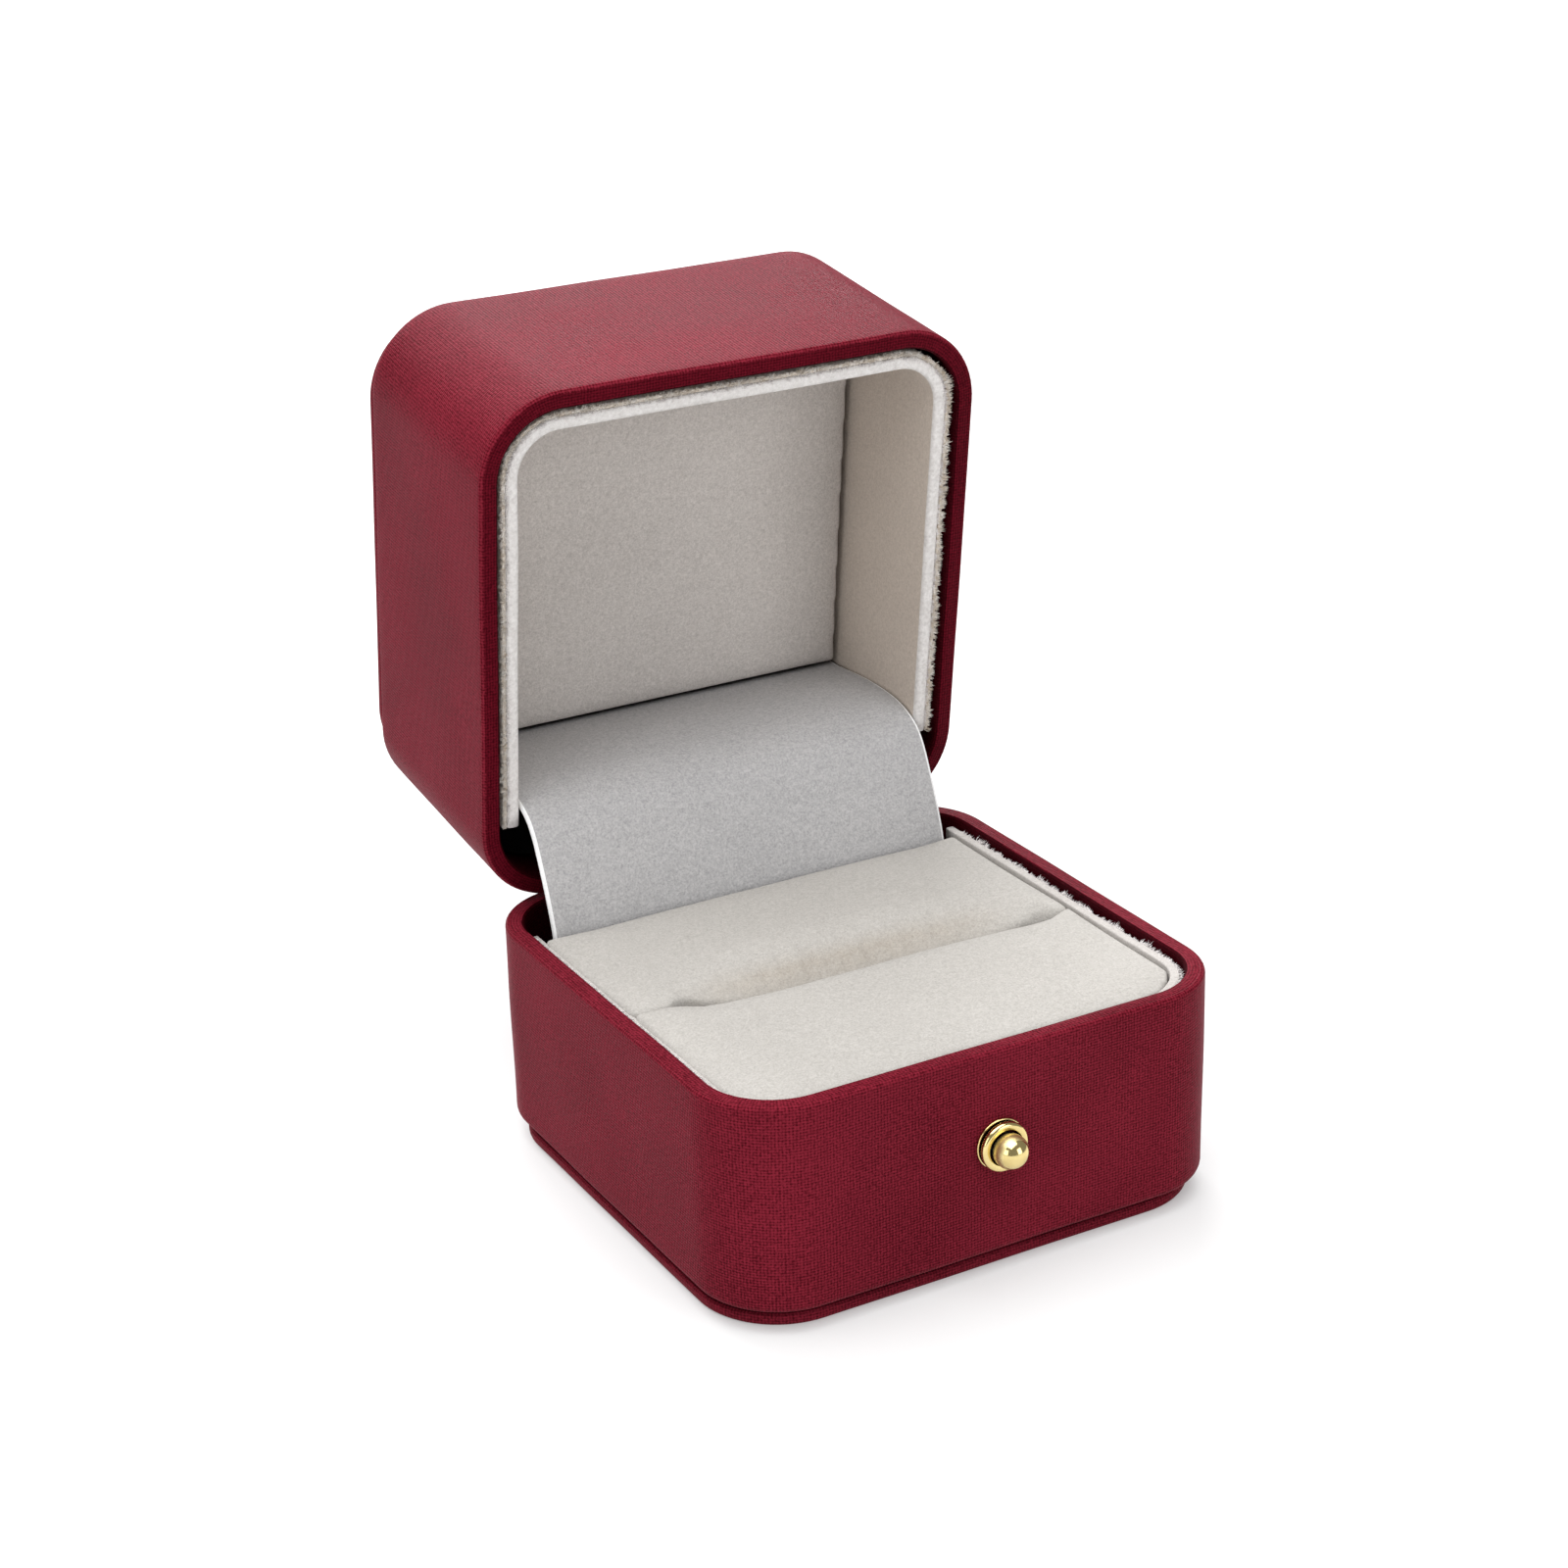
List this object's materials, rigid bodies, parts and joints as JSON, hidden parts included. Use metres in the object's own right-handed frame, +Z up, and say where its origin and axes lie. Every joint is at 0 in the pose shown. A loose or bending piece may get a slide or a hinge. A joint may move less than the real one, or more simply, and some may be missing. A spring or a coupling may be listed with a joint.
{
  "type": "jewelry ring box",
  "caption": "Hinged ring gift box with rounded corners, leatherette-wrapped base and lid, a velvet pad with a ring slot, a velvet hinge flap and a sprung push button on the front.",
  "frame": {"origin": "middle of the flat underside of the base, on the table", "axes": "+Z up, the front with the button faces -Y, +X to the right as seen from the front; the lid stands open at the back"},
  "size_m": [0.06, 0.0926, 0.0887],
  "materials": {
    "leatherette": "fine ribbed satin",
    "core": "moulded",
    "liner": "short velvet on stiff card",
    "card": "plain",
    "velvet": "short velvet over foam",
    "flap_velvet": "short velvet",
    "brass": "polished",
    "steel": "plain"
  },
  "bodies": {
    "base": {"base_core": "core", "base_wrap": "leatherette", "base_plate": "leatherette", "base_liner": "liner", "pad_tray": "card", "pad_front": "velvet", "pad_rear": "velvet", "hinge_flap": "flap_velvet", "base_leaf": "brass", "base_leaf_rivets": "brass", "hinge_pin": "steel", "hinge_spring": "steel", "button_washer": "brass", "button_collar": "brass", "button_nut": "steel", "button_spring": "steel"},
    "lid": {"lid_core": "core", "lid_wrap": "leatherette", "lid_plate": "leatherette", "lid_liner": "liner", "lid_pad": "velvet", "lid_foam": "velvet", "lid_leaf": "brass", "lid_leaf_rivets": "brass"},
    "button": {"button_plunger": "brass", "button_clip": "steel"}
  },
  "joints": [
    {"name": "lid_hinge", "type": "hinge", "parent": "base", "child": "lid", "pos_m": [0, 0.0289, 0.02685], "axis": [1, 0, 0], "range_deg": [0, 82.5], "deforming": ["hinge_flap", "hinge_spring"]},
    {"name": "button_push", "type": "slide", "parent": "base", "child": "button", "axis": [0, 1, 0], "range_m": [0, 0.001], "stiffness_N_per_m": 2500, "deforming": ["button_spring"]}
  ]
}
